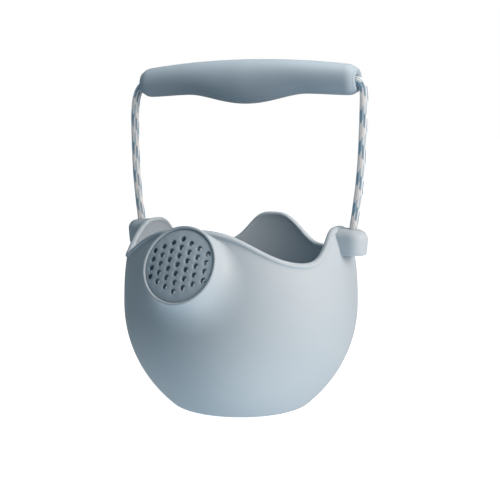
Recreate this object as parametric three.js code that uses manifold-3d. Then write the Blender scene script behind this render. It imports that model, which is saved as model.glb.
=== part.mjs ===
// A child's silicone watering can: a soft one-piece bowl with a wavy rim, a short flared spout
// with a perforated rose, and a rope handle with a moulded grip, knotted inside two lugs.
// Millimetres, +Z up. The origin is at the centre of the flat base. The spout points along -Y
// and the two lugs are on the X axis, left at -X and right at +X.
import * as THREE from "three";
import { ParametricGeometry } from "three/addons/geometries/ParametricGeometry.js";
import { mergeVertices } from "three/addons/utils/BufferGeometryUtils.js";
import Module from "manifold-3d";

const wasm = await Module();
wasm.setup();

// ---- driving dimensions -------------------------------------------------------------------

// bowl
const bowlRadius = 78; // the widest ring of the belly
const bellyHeight = 68; // height of that ring
const baseFlatRadius = 41.5; // flat face the can stands on
const baseEdgeRadius = 47.1; // where the rounded foot meets the belly curve
const baseEdgeHeight = 1.9;
const mouthRadius = 67.4; // the bowl closes in again towards the mouth
const mouthHeight = 125;
const wall = 2.4;
const floorThickness = 3;

// rim: low between four lobes, one over each lug, one at the back, a wide one over the spout
const rimLow = 101.5;
const lugLobeRise = 20.2;
const backLobeRise = 21.6;
const backLobeAt = 96.8; // degrees round from the right; the soft lobe sits a little left of centre
const spoutLobeRise = 21.3;
const lugLobeHalf = 18.5; // degrees from a lobe's middle to half its rise
const backLobeHalf = 16.4;
const spoutLobeHalf = 35;
const lobeFullness = 3.2; // how round-shouldered the lobes are
const beadHeight = 3; // rounded bead along the whole rim
const beadProud = 1.1; // how far the bead stands out of the wall

// spout and rose
const spoutHeight = 102.7; // centre of the spout's face
const spoutProjection = 7.6; // from the wall to that centre
const spoutTilt = 23.3; // degrees the face looks up
const spoutRadius = 25.1;
const spoutWall = 2;
const spoutFootTop = 121.2; // where the flare dies into the bowl
const spoutFootBottom = 57;
const spoutFootHalfWidth = 40; // measured along the wall
const throatRadius = 19; // opening behind the rose
const throatFootTop = 114;
const throatFootBottom = 70;
const throatFootHalfWidth = 30;
const roseRecess = 1; // the rose's edge sits back from the lip
const roseThickness = 2.8;
const roseDome = 2.4; // the front swells this much towards the middle
const roseRowPitch = 5.5;
const roseColumnPitch = 6.1;
const roseHoleDiameter = 3.6;
const roseRings = 3; // rings of holes round the middle one

// lugs
const lugSetBack = 2.2; // the lugs sit a little behind the middle of the bowl
const lugRadius = 9.5; // half-round end, seen from above
const lugBottom = 103.9;
const lugTop = 121;
const lugShoulderDrop = 5.5; // the top slopes down to its rounded outer edge
const ropeStandOff = 4.4; // rope centre outside the wall at the lug's lower edge
const pocketStandOff = 0.8; // pocket centre outside the rope's centre
const lugCeiling = 5.2; // what the knot bears against

// rope handle
const ropeDiameter = 5.6;
const knotRadius = 4.8;
const knotRoom = 0.6; // round the knot in its pocket, which is open below
const knotHeight = 8.4;
const pivotHeight = 124; // the rope bends here, just above the lugs
const handleLean = 1.2; // degrees the handle leans back at rest
const gripRise = 89.8; // bore of the grip above the pivot
const gripHalfLength = 80.2;
const gripOffset = 1.8; // the grip is loose on the rope and rests a little to the right
const gripEndRadius = 9.35;
const gripEndDome = 8.5; // length of the rounded ends
const gripCrown = 5.45; // extra height of the top in the middle
const gripBulge = 4.85; // palm swell below, in the middle
const gripWaist = 1.35; // shallow finger rests either side of it
const gripMiddleHalfDepth = 12.4;
const boreClearance = 0.5;
const boreFlare = 3.7; // trumpet ends that let the rope turn down
const boreMouthLength = 10;

// rope route in the handle's plane, from one pivot to its end of the bore:
// distance from the middle, height above the pivot
const ropeLeg = [
  [79.6, 0],
  [80.4, 5],
  [81.3, 12],
  [82.2, 19],
  [82.9, 26],
  [83.5, 34],
  [84.0, 44],
  [84.35, 54],
  [84.55, 64],
];
const rightBend = [
  [84.6, 74],
  [84.6, 81],
  [83.6, 86],
  [80.7, 89],
  [76.6, 89.8],
  [70, 89.8],
];
const leftBend = [
  [84.2, 74],
  [83.2, 80.5],
  [80.9, 85.6],
  [77.5, 88.9],
  [73.4, 89.8],
  [68, 89.8],
];
const ropeMiddle = [48, 24, 0, -24, -48];

// gaps between pieces
const looseFit = 0.4;
const touchGap = 0.3;

// mesh fineness
const aroundBowl = 64;
const aroundSpout = 40;

// ---- helpers ------------------------------------------------------------------------------

const radians = THREE.MathUtils.degToRad;

function solidFrom(geometry) {
  const bare = geometry.clone();
  bare.deleteAttribute("normal");
  bare.deleteAttribute("uv");
  const merged = mergeVertices(bare, 1e-4);
  return new wasm.Manifold(
    new wasm.Mesh({
      numProp: 3,
      vertProperties: new Float32Array(merged.attributes.position.array),
      triVerts: new Uint32Array(merged.index.array),
    }),
  );
}

function geometryFrom(solid) {
  const mesh = solid.getMesh();
  const geometry = new THREE.BufferGeometry();
  geometry.setAttribute("position", new THREE.BufferAttribute(mesh.vertProperties, 3));
  geometry.setIndex(new THREE.BufferAttribute(mesh.triVerts, 1));
  geometry.computeVertexNormals();
  return geometry;
}

// A closed surface whose section at each turn (0 to 1) is a list of points, each Vector3.
function skin(sectionAt, turns) {
  const sections = [];
  for (let i = 0; i < turns; i += 1) sections.push(sectionAt(i / turns));
  sections.push(sections[0]);
  const rows = sections[0].length - 1;
  const pick = (u, v, target) => {
    target.copy(sections[Math.round(u * turns)][Math.round(v * rows)]);
  };
  return new ParametricGeometry(pick, turns, rows);
}

function named(name, geometry, material) {
  const mesh = new THREE.Mesh(geometry, material);
  mesh.name = name;
  return mesh;
}

// ---- bowl shape ---------------------------------------------------------------------------

// Outline of the bowl from the edge of its flat base up past the mouth.
function bowlOutline(divisions) {
  const outline = new THREE.Path();
  const cornerRadius = THREE.MathUtils.lerp(baseFlatRadius, baseEdgeRadius, 0.6);
  const bellyStart = THREE.MathUtils.lerp(baseEdgeRadius, bowlRadius, 0.563);
  const mouthLean = THREE.MathUtils.lerp(mouthRadius, bowlRadius, 0.82);
  const mouthSpan = mouthHeight - bellyHeight;
  const overshoot = 15;
  outline.moveTo(baseFlatRadius, 0);
  outline.quadraticCurveTo(cornerRadius, 0, baseEdgeRadius, baseEdgeHeight);
  outline.bezierCurveTo(
    bellyStart,
    bellyHeight * 0.253,
    bowlRadius,
    bellyHeight * 0.581,
    bowlRadius,
    bellyHeight,
  );
  outline.bezierCurveTo(
    bowlRadius,
    bellyHeight + mouthSpan * 0.391,
    mouthLean,
    bellyHeight + mouthSpan * 0.696,
    mouthRadius,
    mouthHeight,
  );
  const slope = (mouthRadius - mouthLean) / (mouthSpan * 0.304);
  outline.lineTo(mouthRadius + slope * overshoot, mouthHeight + overshoot);
  return outline.getPoints(divisions);
}

const outerOutline = bowlOutline(40);

function radiusOn(outline, height) {
  const above = outline.findIndex((point) => point.y >= height);
  if (above < 0) return outline[outline.length - 1].x;
  if (above === 0) return outline[0].x;
  const low = outline[above - 1];
  const high = outline[above];
  return THREE.MathUtils.mapLinear(height, low.y, high.y, low.x, high.x);
}

// The outline moved inwards by a depth, square to the wall.
function inset(outline, depth) {
  return outline.map((point, i) => {
    const before = outline[Math.max(i - 1, 0)];
    const after = outline[Math.min(i + 1, outline.length - 1)];
    const along = after.clone().sub(before).normalize();
    return new THREE.Vector2(point.x - along.y * depth, point.y + along.x * depth);
  });
}

const innerOutline = inset(outerOutline, wall);

const lugTurn = THREE.MathUtils.radToDeg(Math.asin(lugSetBack / mouthRadius));
const lobes = [
  { at: lugTurn, rise: lugLobeRise, half: lugLobeHalf },
  { at: backLobeAt, rise: backLobeRise, half: backLobeHalf },
  { at: 180 - lugTurn, rise: lugLobeRise, half: lugLobeHalf },
  { at: 270, rise: spoutLobeRise, half: spoutLobeHalf },
];

function rimHeight(degrees) {
  let height = rimLow;
  for (const lobe of lobes) {
    const away = Math.abs(THREE.MathUtils.euclideanModulo(degrees - lobe.at + 180, 360) - 180);
    height += lobe.rise * 0.5 ** ((away / lobe.half) ** lobeFullness);
  }
  return height;
}

function onTurn(radius, angle, height) {
  return new THREE.Vector3(radius * Math.cos(angle), radius * Math.sin(angle), height);
}

// The bowl as one skin: base, outside, rolled bead, inside, floor.
function bowlSolid() {
  const outsideRows = 12;
  const insideRows = 10;
  const beadRows = 5;
  const section = (turn) => {
    const angle = turn * 2 * Math.PI;
    const top = rimHeight(turn * 360);
    const wallTop = top - beadHeight;
    const points = [onTurn(0, angle, 0), onTurn(baseFlatRadius, angle, 0)];
    for (let i = 1; i <= outsideRows; i += 1) {
      const height = wallTop * (i / outsideRows) ** 1.35;
      points.push(onTurn(radiusOn(outerOutline, height), angle, height));
    }
    for (let i = 0; i <= beadRows; i += 1) {
      const round = Math.PI * (i / beadRows - 0.5);
      const height = top - (beadHeight / 2) * (1 - Math.sin(round));
      const outer = radiusOn(outerOutline, height);
      const half = (wall + beadProud) / 2;
      points.push(onTurn(outer + beadProud - half + half * Math.cos(round), angle, height));
    }
    for (let i = insideRows; i >= 0; i -= 1) {
      const height = THREE.MathUtils.lerp(floorThickness, wallTop, (i / insideRows) ** 1.35);
      points.push(onTurn(radiusOn(innerOutline, height), angle, height));
    }
    points.push(onTurn(0, angle, floorThickness));
    return points;
  };
  return solidFrom(skin(section, aroundBowl));
}

// Everything inside the middle of the wall, to trim what is joined on from outside.
function coreSolid() {
  const middle = inset(bowlOutline(8), wall / 2).filter((point) => point.y > floorThickness);
  const profile = [
    new THREE.Vector2(0, middle[0].y),
    ...middle,
    new THREE.Vector2(0, middle[middle.length - 1].y),
  ];
  return solidFrom(new THREE.LatheGeometry(profile, aroundBowl).rotateX(Math.PI / 2));
}

// ---- spout --------------------------------------------------------------------------------

const spoutOut = new THREE.Vector3(0, -Math.cos(radians(spoutTilt)), Math.sin(radians(spoutTilt)));
const spoutUp = new THREE.Vector3(0, Math.sin(radians(spoutTilt)), Math.cos(radians(spoutTilt)));
const spoutSide = new THREE.Vector3(1, 0, 0);
const spoutCentre = new THREE.Vector3(
  0,
  -(radiusOn(outerOutline, spoutHeight) + spoutProjection),
  spoutHeight,
);

function onSpout(radius, angle, back) {
  return spoutCentre
    .clone()
    .addScaledVector(spoutSide, radius * Math.sin(angle))
    .addScaledVector(spoutUp, radius * Math.cos(angle))
    .addScaledVector(spoutOut, -back);
}

// How far back along the spout a point has to go to reach the wall.
function backToWall(start, outline) {
  let near = 0;
  let far = 60;
  for (let i = 0; i < 30; i += 1) {
    const middle = (near + far) / 2;
    const point = start.clone().addScaledVector(spoutOut, -middle);
    const outside = Math.hypot(point.x, point.y) > radiusOn(outline, point.z);
    if (outside) near = middle;
    else far = middle;
  }
  return near;
}

// A plug round the spout's axis: a straight neck that flares out and dies into the wall.
function flareSolid({ radius, front, outline, footTop, footBottom, footHalfWidth, sink }) {
  const footMiddle = (footTop + footBottom) / 2;
  const footHalfHeight = (footTop - footBottom) / 2;
  const rows = 7;
  const heart = onSpout(0, 0, front + 34);
  const section = (turn) => {
    const angle = turn * 2 * Math.PI;
    const lip = onSpout(radius, angle, front);
    const corner = lip.clone().addScaledVector(spoutOut, -backToWall(lip, outline));
    const height = footMiddle + footHalfHeight * Math.cos(angle);
    const wallRadius = radiusOn(outline, height) - sink;
    const along = (footHalfWidth * Math.sin(angle)) / wallRadius;
    const foot = onTurn(wallRadius, along - Math.PI / 2, height);
    const flare = new THREE.CubicBezierCurve3(
      lip,
      lip.clone().lerp(corner, 0.7),
      foot.clone().lerp(corner, 0.6),
      foot,
    );
    return [onSpout(0, 0, front), ...flare.getPoints(rows), heart];
  };
  return solidFrom(skin(section, aroundSpout));
}

// A round plug on the spout's axis, between two distances behind its face.
function spoutPlug(radius, front, back) {
  const plug = new THREE.CylinderGeometry(radius, radius, back - front, aroundSpout);
  plug.translate(0, -(front + back) / 2, 0);
  const frame = new THREE.Matrix4().makeBasis(spoutSide, spoutOut, spoutUp.clone().negate());
  frame.setPosition(spoutCentre);
  return solidFrom(plug.applyMatrix4(frame));
}

const roseSeatDepth = roseRecess + roseThickness + touchGap;
const roseSeatRadius = spoutRadius - spoutWall;

function spoutOutside() {
  return flareSolid({
    radius: spoutRadius,
    front: 0,
    outline: outerOutline,
    footTop: spoutFootTop,
    footBottom: spoutFootBottom,
    footHalfWidth: spoutFootHalfWidth,
    sink: wall / 4,
  });
}

function spoutChannel() {
  return flareSolid({
    radius: throatRadius,
    front: roseSeatDepth - touchGap,
    outline: innerOutline,
    footTop: throatFootTop,
    footBottom: throatFootBottom,
    footHalfWidth: throatFootHalfWidth,
    sink: wall / 2,
  });
}

// ---- lugs ---------------------------------------------------------------------------------

const ropeHoleX = radiusOn(outerOutline, lugBottom) + ropeStandOff;
const pocketTop = lugTop - lugCeiling;
const pocketRadius = knotRadius + knotRoom;

// A half-round block with a top that slopes outwards to a rounded edge. side is 1 or -1.
function lugSolid(side) {
  const outer = ropeHoleX - 0.4 + lugRadius;
  const inner = mouthRadius * 0.8;
  const plan = new THREE.Shape();
  plan.moveTo(inner, -lugRadius);
  plan.lineTo(outer - lugRadius, -lugRadius);
  plan.absarc(outer - lugRadius, 0, lugRadius, -Math.PI / 2, Math.PI / 2, false);
  plan.lineTo(inner, lugRadius);
  plan.closePath();
  const block = new THREE.ExtrudeGeometry(plan, {
    depth: lugTop - lugBottom,
    bevelEnabled: false,
    curveSegments: 16,
  });
  block.translate(0, 0, lugBottom);

  const profile = new THREE.Shape();
  profile.moveTo(inner, lugBottom - 1);
  profile.lineTo(outer + 1, lugBottom - 1);
  profile.lineTo(outer + 1, lugTop - lugShoulderDrop * 2);
  profile.lineTo(outer, lugTop - lugShoulderDrop * 2);
  profile.bezierCurveTo(
    outer,
    lugTop - lugShoulderDrop * 0.5,
    outer - lugRadius * 0.35,
    lugTop - 0.6,
    outer - lugRadius * 1.3,
    lugTop,
  );
  profile.lineTo(inner, lugTop);
  profile.closePath();
  const depth = lugRadius * 2 + 2;
  const top = new THREE.ExtrudeGeometry(profile, { depth, bevelEnabled: false, curveSegments: 8 });
  top.rotateX(Math.PI / 2);
  top.translate(0, depth / 2, 0);

  const turn = side > 0 ? 0 : Math.PI;
  const placed = (piece) => solidFrom(piece.rotateZ(turn).translate(0, lugSetBack, 0));
  return placed(block).intersect(placed(top));
}

// An upright round post on the lugs' line.
function standing(radius, bottom, top, x, sides) {
  const post = new THREE.CylinderGeometry(radius, radius, top - bottom, sides);
  post.rotateX(Math.PI / 2);
  post.translate(x, lugSetBack, (bottom + top) / 2);
  return post;
}

// ---- can body -----------------------------------------------------------------------------

function canBody() {
  const core = coreSolid();
  let can = bowlSolid().add(spoutOutside().subtract(core));
  for (const side of [1, -1]) {
    const pocketX = side * (ropeHoleX + pocketStandOff);
    const pocket = standing(pocketRadius, lugBottom - 2, pocketTop, pocketX, 20);
    const holeRadius = ropeDiameter / 2 + looseFit;
    const hole = standing(holeRadius, lugBottom, lugTop + 4, side * ropeHoleX, 16);
    can = can.add(lugSolid(side).subtract(core));
    can = can.subtract(solidFrom(pocket)).subtract(solidFrom(hole));
  }
  can = can.subtract(spoutPlug(roseSeatRadius, -4, roseSeatDepth));
  return can.subtract(spoutChannel());
}

// ---- rose ---------------------------------------------------------------------------------

// Holes in a hexagon, one in the middle and a ring of six more each step out.
function roseHoles() {
  const holes = [];
  for (let column = -roseRings; column <= roseRings; column += 1) {
    const count = 2 * roseRings + 1 - Math.abs(column);
    for (let row = 0; row < count; row += 1) {
      const across = column * roseColumnPitch;
      const up = (row - (count - 1) / 2) * roseRowPitch;
      holes.push(new THREE.Vector2(across, up));
    }
  }
  return holes;
}

// A disc with a flat back, its front swelling to a shallow dome, drilled right through.
function rosePlate() {
  const radius = roseSeatRadius - touchGap;
  const back = -roseRecess - roseThickness;
  const profile = [new THREE.Vector2(0, back), new THREE.Vector2(radius, back)];
  for (let step = 8; step >= 0; step -= 1) {
    const share = step / 8;
    profile.push(new THREE.Vector2(radius * share, roseDome * (1 - share ** 2) - roseRecess));
  }
  const disc = new THREE.LatheGeometry(profile, 64).rotateX(Math.PI / 2);
  let rose = solidFrom(disc);
  const drill = roseHoleDiameter / 2;
  for (const middle of roseHoles()) {
    const hole = new THREE.CylinderGeometry(drill, drill, 2 * roseThickness + 2 * roseDome, 12);
    hole.rotateX(Math.PI / 2).translate(middle.x, middle.y, -roseRecess);
    rose = rose.subtract(solidFrom(hole));
  }
  const frame = new THREE.Matrix4().makeBasis(spoutSide, spoutUp, spoutOut);
  frame.setPosition(spoutCentre);
  return geometryFrom(rose).applyMatrix4(frame);
}

// ---- rope handle --------------------------------------------------------------------------

function ropeGeometry() {
  const right = [...ropeLeg, ...rightBend].map(([x, rise]) => new THREE.Vector3(x, 0, rise));
  const left = [...ropeLeg, ...leftBend].map(([x, rise]) => new THREE.Vector3(-x, 0, rise));
  const middle = ropeMiddle.map((x) => new THREE.Vector3(x, 0, gripRise));
  const route = new THREE.CatmullRomCurve3([...right, ...middle, ...left.reverse()]);
  const round = new THREE.Shape();
  round.absarc(0, 0, ropeDiameter / 2, 0, 2 * Math.PI, false);
  const tube = new THREE.ExtrudeGeometry(round, {
    extrudePath: route,
    steps: 60,
    curveSegments: 5,
  });
  const ballAt = (x) => {
    const ball = new THREE.SphereGeometry(ropeDiameter / 2, 10, 8);
    return solidFrom(ball.translate(x, 0, 0));
  };
  return geometryFrom(solidFrom(tube).add(ballAt(right[0].x)).add(ballAt(-right[0].x)));
}

// Height of the grip's top and bottom and its half depth, at a distance from the middle.
function gripSection(x) {
  const share = Math.min(Math.abs(x) / gripHalfLength, 1);
  const dome = Math.max((Math.abs(x) - gripHalfLength + gripEndDome) / gripEndDome, 0);
  const rounding = Math.max(1 - Math.min(dome, 1) ** 2.3, 0) ** 0.435;
  const swell = 1 - THREE.MathUtils.smoothstep(Math.abs(x), 0, gripHalfLength * 0.55);
  const rest = Math.sin(Math.PI * THREE.MathUtils.smoothstep(Math.abs(x), 0, gripHalfLength));
  const half = gripEndRadius * rounding;
  return {
    top: half + gripCrown * (1 - share ** 2),
    bottom: -half - gripBulge * swell + gripWaist * rest * (1 - swell),
    halfDepth: THREE.MathUtils.lerp(gripMiddleHalfDepth, gripEndRadius, share) * rounding,
  };
}

function gripGeometry() {
  const stations = 30;
  const around = 24;
  const section = (turn) => {
    const angle = turn * 2 * Math.PI;
    const points = [];
    for (let i = 0; i <= stations; i += 1) {
      const x = -gripHalfLength * Math.cos((Math.PI * i) / stations);
      const { top, bottom, halfDepth } = gripSection(x);
      const middle = (top + bottom) / 2;
      const halfHeight = (top - bottom) / 2;
      points.push(
        new THREE.Vector3(x, halfDepth * Math.cos(angle), middle + halfHeight * Math.sin(angle)),
      );
    }
    return points;
  };
  const outside = solidFrom(skin(section, around));

  const boreRadius = ropeDiameter / 2 + boreClearance;
  const mouthOfBore = boreRadius + boreFlare;
  const straight = gripHalfLength - boreMouthLength;
  const past = gripHalfLength + 2;
  const profile = [new THREE.Vector2(0, -past), new THREE.Vector2(mouthOfBore, -past)];
  const trumpet = (x) => {
    const share = Math.max((Math.abs(x) - straight) / boreMouthLength, 0);
    return THREE.MathUtils.lerp(boreRadius, mouthOfBore, Math.min(share, 1) ** 2);
  };
  for (const end of [-1, 1]) {
    for (let i = 0; i <= 4; i += 1) {
      const inward = end < 0 ? i / 4 : 1 - i / 4;
      const x = end * THREE.MathUtils.lerp(gripHalfLength, straight, inward);
      profile.push(new THREE.Vector2(trumpet(x), x));
    }
  }
  profile.push(new THREE.Vector2(mouthOfBore, past), new THREE.Vector2(0, past));
  const bore = new THREE.LatheGeometry(profile, 16).rotateZ(-Math.PI / 2);
  return geometryFrom(outside.subtract(solidFrom(bore)));
}

function knotGeometry() {
  const knot = new THREE.SphereGeometry(knotRadius, 14, 10);
  return knot.rotateX(Math.PI / 2).scale(1, 1, knotHeight / 2 / knotRadius);
}

// ---- materials ----------------------------------------------------------------------------

function silicone(colour) {
  return new THREE.MeshStandardMaterial({ color: colour, roughness: 0.55, metalness: 0 });
}

function braid() {
  return new THREE.MeshStandardMaterial({ color: 0xe4e8ec, roughness: 0.9, metalness: 0 });
}

// ---- assembly -----------------------------------------------------------------------------

const wateringCan = new THREE.Group();
wateringCan.add(named("can_body", geometryFrom(canBody()), silicone(0xa9bac6)));
wateringCan.add(named("rose", rosePlate(), silicone(0x7f96a5)));

const knotTop = pocketTop - touchGap;
for (const [where, side] of [
  ["right", 1],
  ["left", -1],
]) {
  const tailTop = pivotHeight - ropeDiameter / 2 - touchGap;
  const tail = standing(ropeDiameter / 2, knotTop + touchGap, tailTop, side * ropeHoleX, 10);
  wateringCan.add(named(`rope_end_${where}`, tail, braid()));
  const knot = named(`knot_${where}`, knotGeometry(), braid());
  knot.position.set(side * (ropeHoleX + pocketStandOff), lugSetBack, knotTop - knotHeight / 2);
  wateringCan.add(knot);
}

const handle = new THREE.Group();
handle.position.set(0, lugSetBack, pivotHeight);
handle.rotation.x = -radians(handleLean);
handle.add(named("rope", ropeGeometry(), braid()));
const grip = named("grip", gripGeometry(), silicone(0x8fa3b1));
grip.position.set(gripOffset, 0, gripRise);
handle.add(grip);
wateringCan.add(handle);

export default wateringCan;
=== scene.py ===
import math

import bmesh
import bpy
import numpy as np
from mathutils import Matrix, Vector
from mathutils.geometry import delaunay_2d_cdt


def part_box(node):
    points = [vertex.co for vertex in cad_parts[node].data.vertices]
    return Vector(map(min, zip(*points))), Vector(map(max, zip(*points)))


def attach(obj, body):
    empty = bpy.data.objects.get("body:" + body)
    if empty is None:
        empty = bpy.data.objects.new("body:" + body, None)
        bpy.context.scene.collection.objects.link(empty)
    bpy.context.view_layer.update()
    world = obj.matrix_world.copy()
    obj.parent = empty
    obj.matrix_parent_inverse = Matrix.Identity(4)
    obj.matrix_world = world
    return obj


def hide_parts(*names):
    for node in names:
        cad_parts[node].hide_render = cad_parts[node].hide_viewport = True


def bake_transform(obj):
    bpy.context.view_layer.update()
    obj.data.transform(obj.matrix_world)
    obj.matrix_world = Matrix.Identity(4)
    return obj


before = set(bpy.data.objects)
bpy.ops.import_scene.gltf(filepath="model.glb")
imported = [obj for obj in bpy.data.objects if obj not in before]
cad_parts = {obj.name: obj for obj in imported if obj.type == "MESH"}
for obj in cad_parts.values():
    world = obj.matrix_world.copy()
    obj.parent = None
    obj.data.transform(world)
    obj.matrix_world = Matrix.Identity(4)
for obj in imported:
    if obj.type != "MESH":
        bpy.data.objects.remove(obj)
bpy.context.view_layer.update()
mm = 0.001

# ---- camera -------------------------------------------------------------------------------
# The can is seen from its front right, from just above the rim, so that the rose, the wavy
# rim and both lugs show.


def put(name, data):
    """Adds a mesh, lamp or camera to the scene, at the origin."""
    made = bpy.data.objects.new(name, data)
    bpy.context.scene.collection.objects.link(made)
    return made


camera = put("camera", bpy.data.cameras.new("camera"))
camera.location = (0.3311, -0.6445, 0.1917)
camera.rotation_euler = (math.radians(83.0), 0, math.radians(26.72))
camera.data.lens = 78.7
camera.data.sensor_width = 36
bpy.context.scene.camera = camera

# ---- can body -----------------------------------------------------------------------------
# One piece of soft silicone, moulded in one shot: bowl, wavy rim with a rounded bead, flared
# spout and the two lugs. Wall 2.4 mm, floor 3 mm, every edge rounded by the mould.

bowl_radius, belly_height = 78 * mm, 68 * mm
base_flat_radius, base_edge_radius, base_edge_height = 41.5 * mm, 47.1 * mm, 1.9 * mm
mouth_radius, mouth_height = 67.4 * mm, 125 * mm
wall, floor_thickness = 2.4 * mm, 3 * mm
lug_set_back = 2.2 * mm

# where each curve of the side leads off and where it is drawn to, as shares of its span
base_turn, belly_lead, belly_draw = 0.6, (0.563, 0.253), 0.581
mouth_lead, mouth_draw, mouth_swell = 0.391, 0.696, 0.82
carried_on = 15 * mm  # the side runs on straight past the rim's height
inner_corner, inner_corner_run = 9 * mm, 6 * mm

rim_low, lobe_fullness = 101.5 * mm, 3.2
lug_turn = math.degrees(math.asin(lug_set_back / mouth_radius))
# each lobe of the rim: where it is in degrees, its rise, how far off it is at half its rise
rim_lobes = [
    (lug_turn, 20.2 * mm, 18.5),
    (96.8, 21.6 * mm, 16.4),
    (180 - lug_turn, 20.2 * mm, 18.5),
    (270, 21.3 * mm, 35),
]
# the rolled bead: how far out of the outer wall, how far below the rim's top
bead_outside = [(0, 3.9), (0.1, 3.45), (0.5, 3.05), (0.95, 2.6), (1.15, 2.0), (1.12, 1.4)]
bead_outside += [(0.9, 0.8), (0.45, 0.3), (-0.15, 0.05), (-0.65, 0)]
# and its inner half: how far out of the inner wall
bead_inside = [(1.2, 0.06), (0.5, 0.32), (-0.05, 0.8), (-0.38, 1.45), (-0.48, 2.1)]
bead_inside += [(-0.4, 2.7), (-0.12, 3.25), (0, 3.8)]

around, wall_rows, inner_rows = 360, 58, 50
base_steps, side_steps = 6, 160
row_crowding = 1.12  # rows of points stand closer together towards the base


def bezier(start, lead, draw, end, steps):
    """Points on a cubic curve, its start left out."""
    t = np.linspace(0, 1, steps + 1)[1:, None]
    start, lead, draw, end = (np.asarray(p, float) for p in (start, lead, draw, end))
    return (
        start * (1 - t) ** 3
        + 3 * lead * t * (1 - t) ** 2
        + 3 * draw * t**2 * (1 - t)
        + end * t**3
    )


def between(low, high, share):
    return low + (high - low) * share


def smoothstep(value, low, high):
    share = np.clip((value - low) / (high - low), 0, 1)
    return share * share * (3 - 2 * share)


def run_along(points):
    """How far along a row of points each one is."""
    steps = np.linalg.norm(np.diff(points, axis=0), axis=1)
    return np.concatenate([[0], np.cumsum(steps)])


base_edge = (base_edge_radius, base_edge_height)
belly = (bowl_radius, belly_height)
turn_radius = between(base_flat_radius, base_edge_radius, base_turn)
foot_lead = (between(base_flat_radius, turn_radius, 2 / 3), 0)
foot_draw = (between(base_edge_radius, turn_radius, 2 / 3), base_edge_height / 3)
out, up = belly_lead
lower_lead = (between(base_edge_radius, bowl_radius, out), belly_height * up)
lower_draw = (bowl_radius, belly_height * belly_draw)
mouth_span = mouth_height - belly_height
swell_radius = between(mouth_radius, bowl_radius, mouth_swell)
upper_lead = (bowl_radius, belly_height + mouth_span * mouth_lead)
upper_draw = (swell_radius, belly_height + mouth_span * mouth_draw)
mouth_slope = (mouth_radius - swell_radius) / (mouth_span * (1 - mouth_draw))
outline = np.vstack(
    [
        [(base_flat_radius, 0)],
        bezier((base_flat_radius, 0), foot_lead, foot_draw, base_edge, base_steps),
        bezier(base_edge, lower_lead, lower_draw, belly, side_steps),
        bezier(belly, upper_lead, upper_draw, (mouth_radius, mouth_height), side_steps),
        [(mouth_radius + mouth_slope * carried_on, mouth_height + carried_on)],
    ]
)
slope = np.gradient(outline, axis=0)
slope /= np.linalg.norm(slope, axis=1)[:, None]
inner_outline = outline + wall * np.column_stack([-slope[:, 1], slope[:, 0]])


def outer_radius(height):
    return np.interp(height, outline[:, 1], outline[:, 0])


def inner_radius(height):
    return np.interp(height, inner_outline[:, 1], inner_outline[:, 0])


def rim_height(degrees):
    height = np.full(np.shape(degrees), rim_low, float)
    for at, rise, half in rim_lobes:
        away = np.abs((np.asarray(degrees) - at + 180) % 360 - 180)
        height += rise * 0.5 ** ((away / half) ** lobe_fullness)
    return height


def on_turn(radius, angle, height):
    """Points round the bowl's axis."""
    radius, angle, height = np.broadcast_arrays(radius, angle, height)
    return np.stack([radius * np.cos(angle), radius * np.sin(angle), height], axis=-1)


bead_out = np.array(bead_outside) * mm
bead_in = np.array(bead_inside) * mm
bead_run = run_along(bead_out)
bead_depth = bead_out[0, 1]


def outer_skin(angle, run):
    """The outside at a distance run up the wall, and on over the bead to its crown."""
    top = rim_height(np.degrees(angle))
    past = np.asarray(run) - (top - bead_depth)
    out = np.interp(past, bead_run, bead_out[:, 0])
    below = np.interp(past, bead_run, bead_out[:, 1])
    height = np.where(past <= 0, run, top - below)
    radius = outer_radius(height) + np.where(past <= 0, 0, out)
    return on_turn(radius, angle, height)


turns = np.linspace(0, 2 * math.pi, around, endpoint=False)
top_edge = rim_height(np.degrees(turns))
wall_top = top_edge - bead_depth

# outside: rows from the base up the wall and over the bead, as distances up the wall
climb = np.linspace(0, 1, wall_rows + 1)[1:] ** row_crowding
outer_runs = [np.full(around, base_edge_height)]
outer_runs += [between(base_edge_height, wall_top, share) for share in climb]
outer_runs += [wall_top + run for run in bead_run[1:]]
outer_runs = np.array(outer_runs)
outer_grid = outer_skin(turns[None, :], outer_runs)

# inside: from the bead's crown down the wall, round the corner and over the floor, as pairs
# of radius and height
inner_profile = [(inner_radius(top_edge - below) + out, top_edge - below) for out, below in bead_in]
inner_top = top_edge - bead_in[-1, 1]
for share in np.linspace(1, 0, inner_rows + 1)[1:]:
    height = between(inner_corner, inner_top, share**row_crowding)
    inner_profile.append((inner_radius(height), height))
inner_foot_radius = inner_radius(inner_corner)
floor_radius = inner_radius(floor_thickness + 1 * mm)
inner_profile += bezier(
    (inner_foot_radius, inner_corner),
    (between(floor_radius, inner_foot_radius, 0.55), inner_corner * 0.62),
    (floor_radius - 1 * mm, floor_thickness),
    (floor_radius - inner_corner_run, floor_thickness),
    8,
).tolist()
inner_profile += [(radius, floor_thickness) for radius in (30 * mm, 20 * mm, 10 * mm, 3 * mm)]
inner_grid = np.array([on_turn(radius, turns, height) for radius, height in inner_profile])
inner_runs = inner_grid[:, :, 2]

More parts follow.
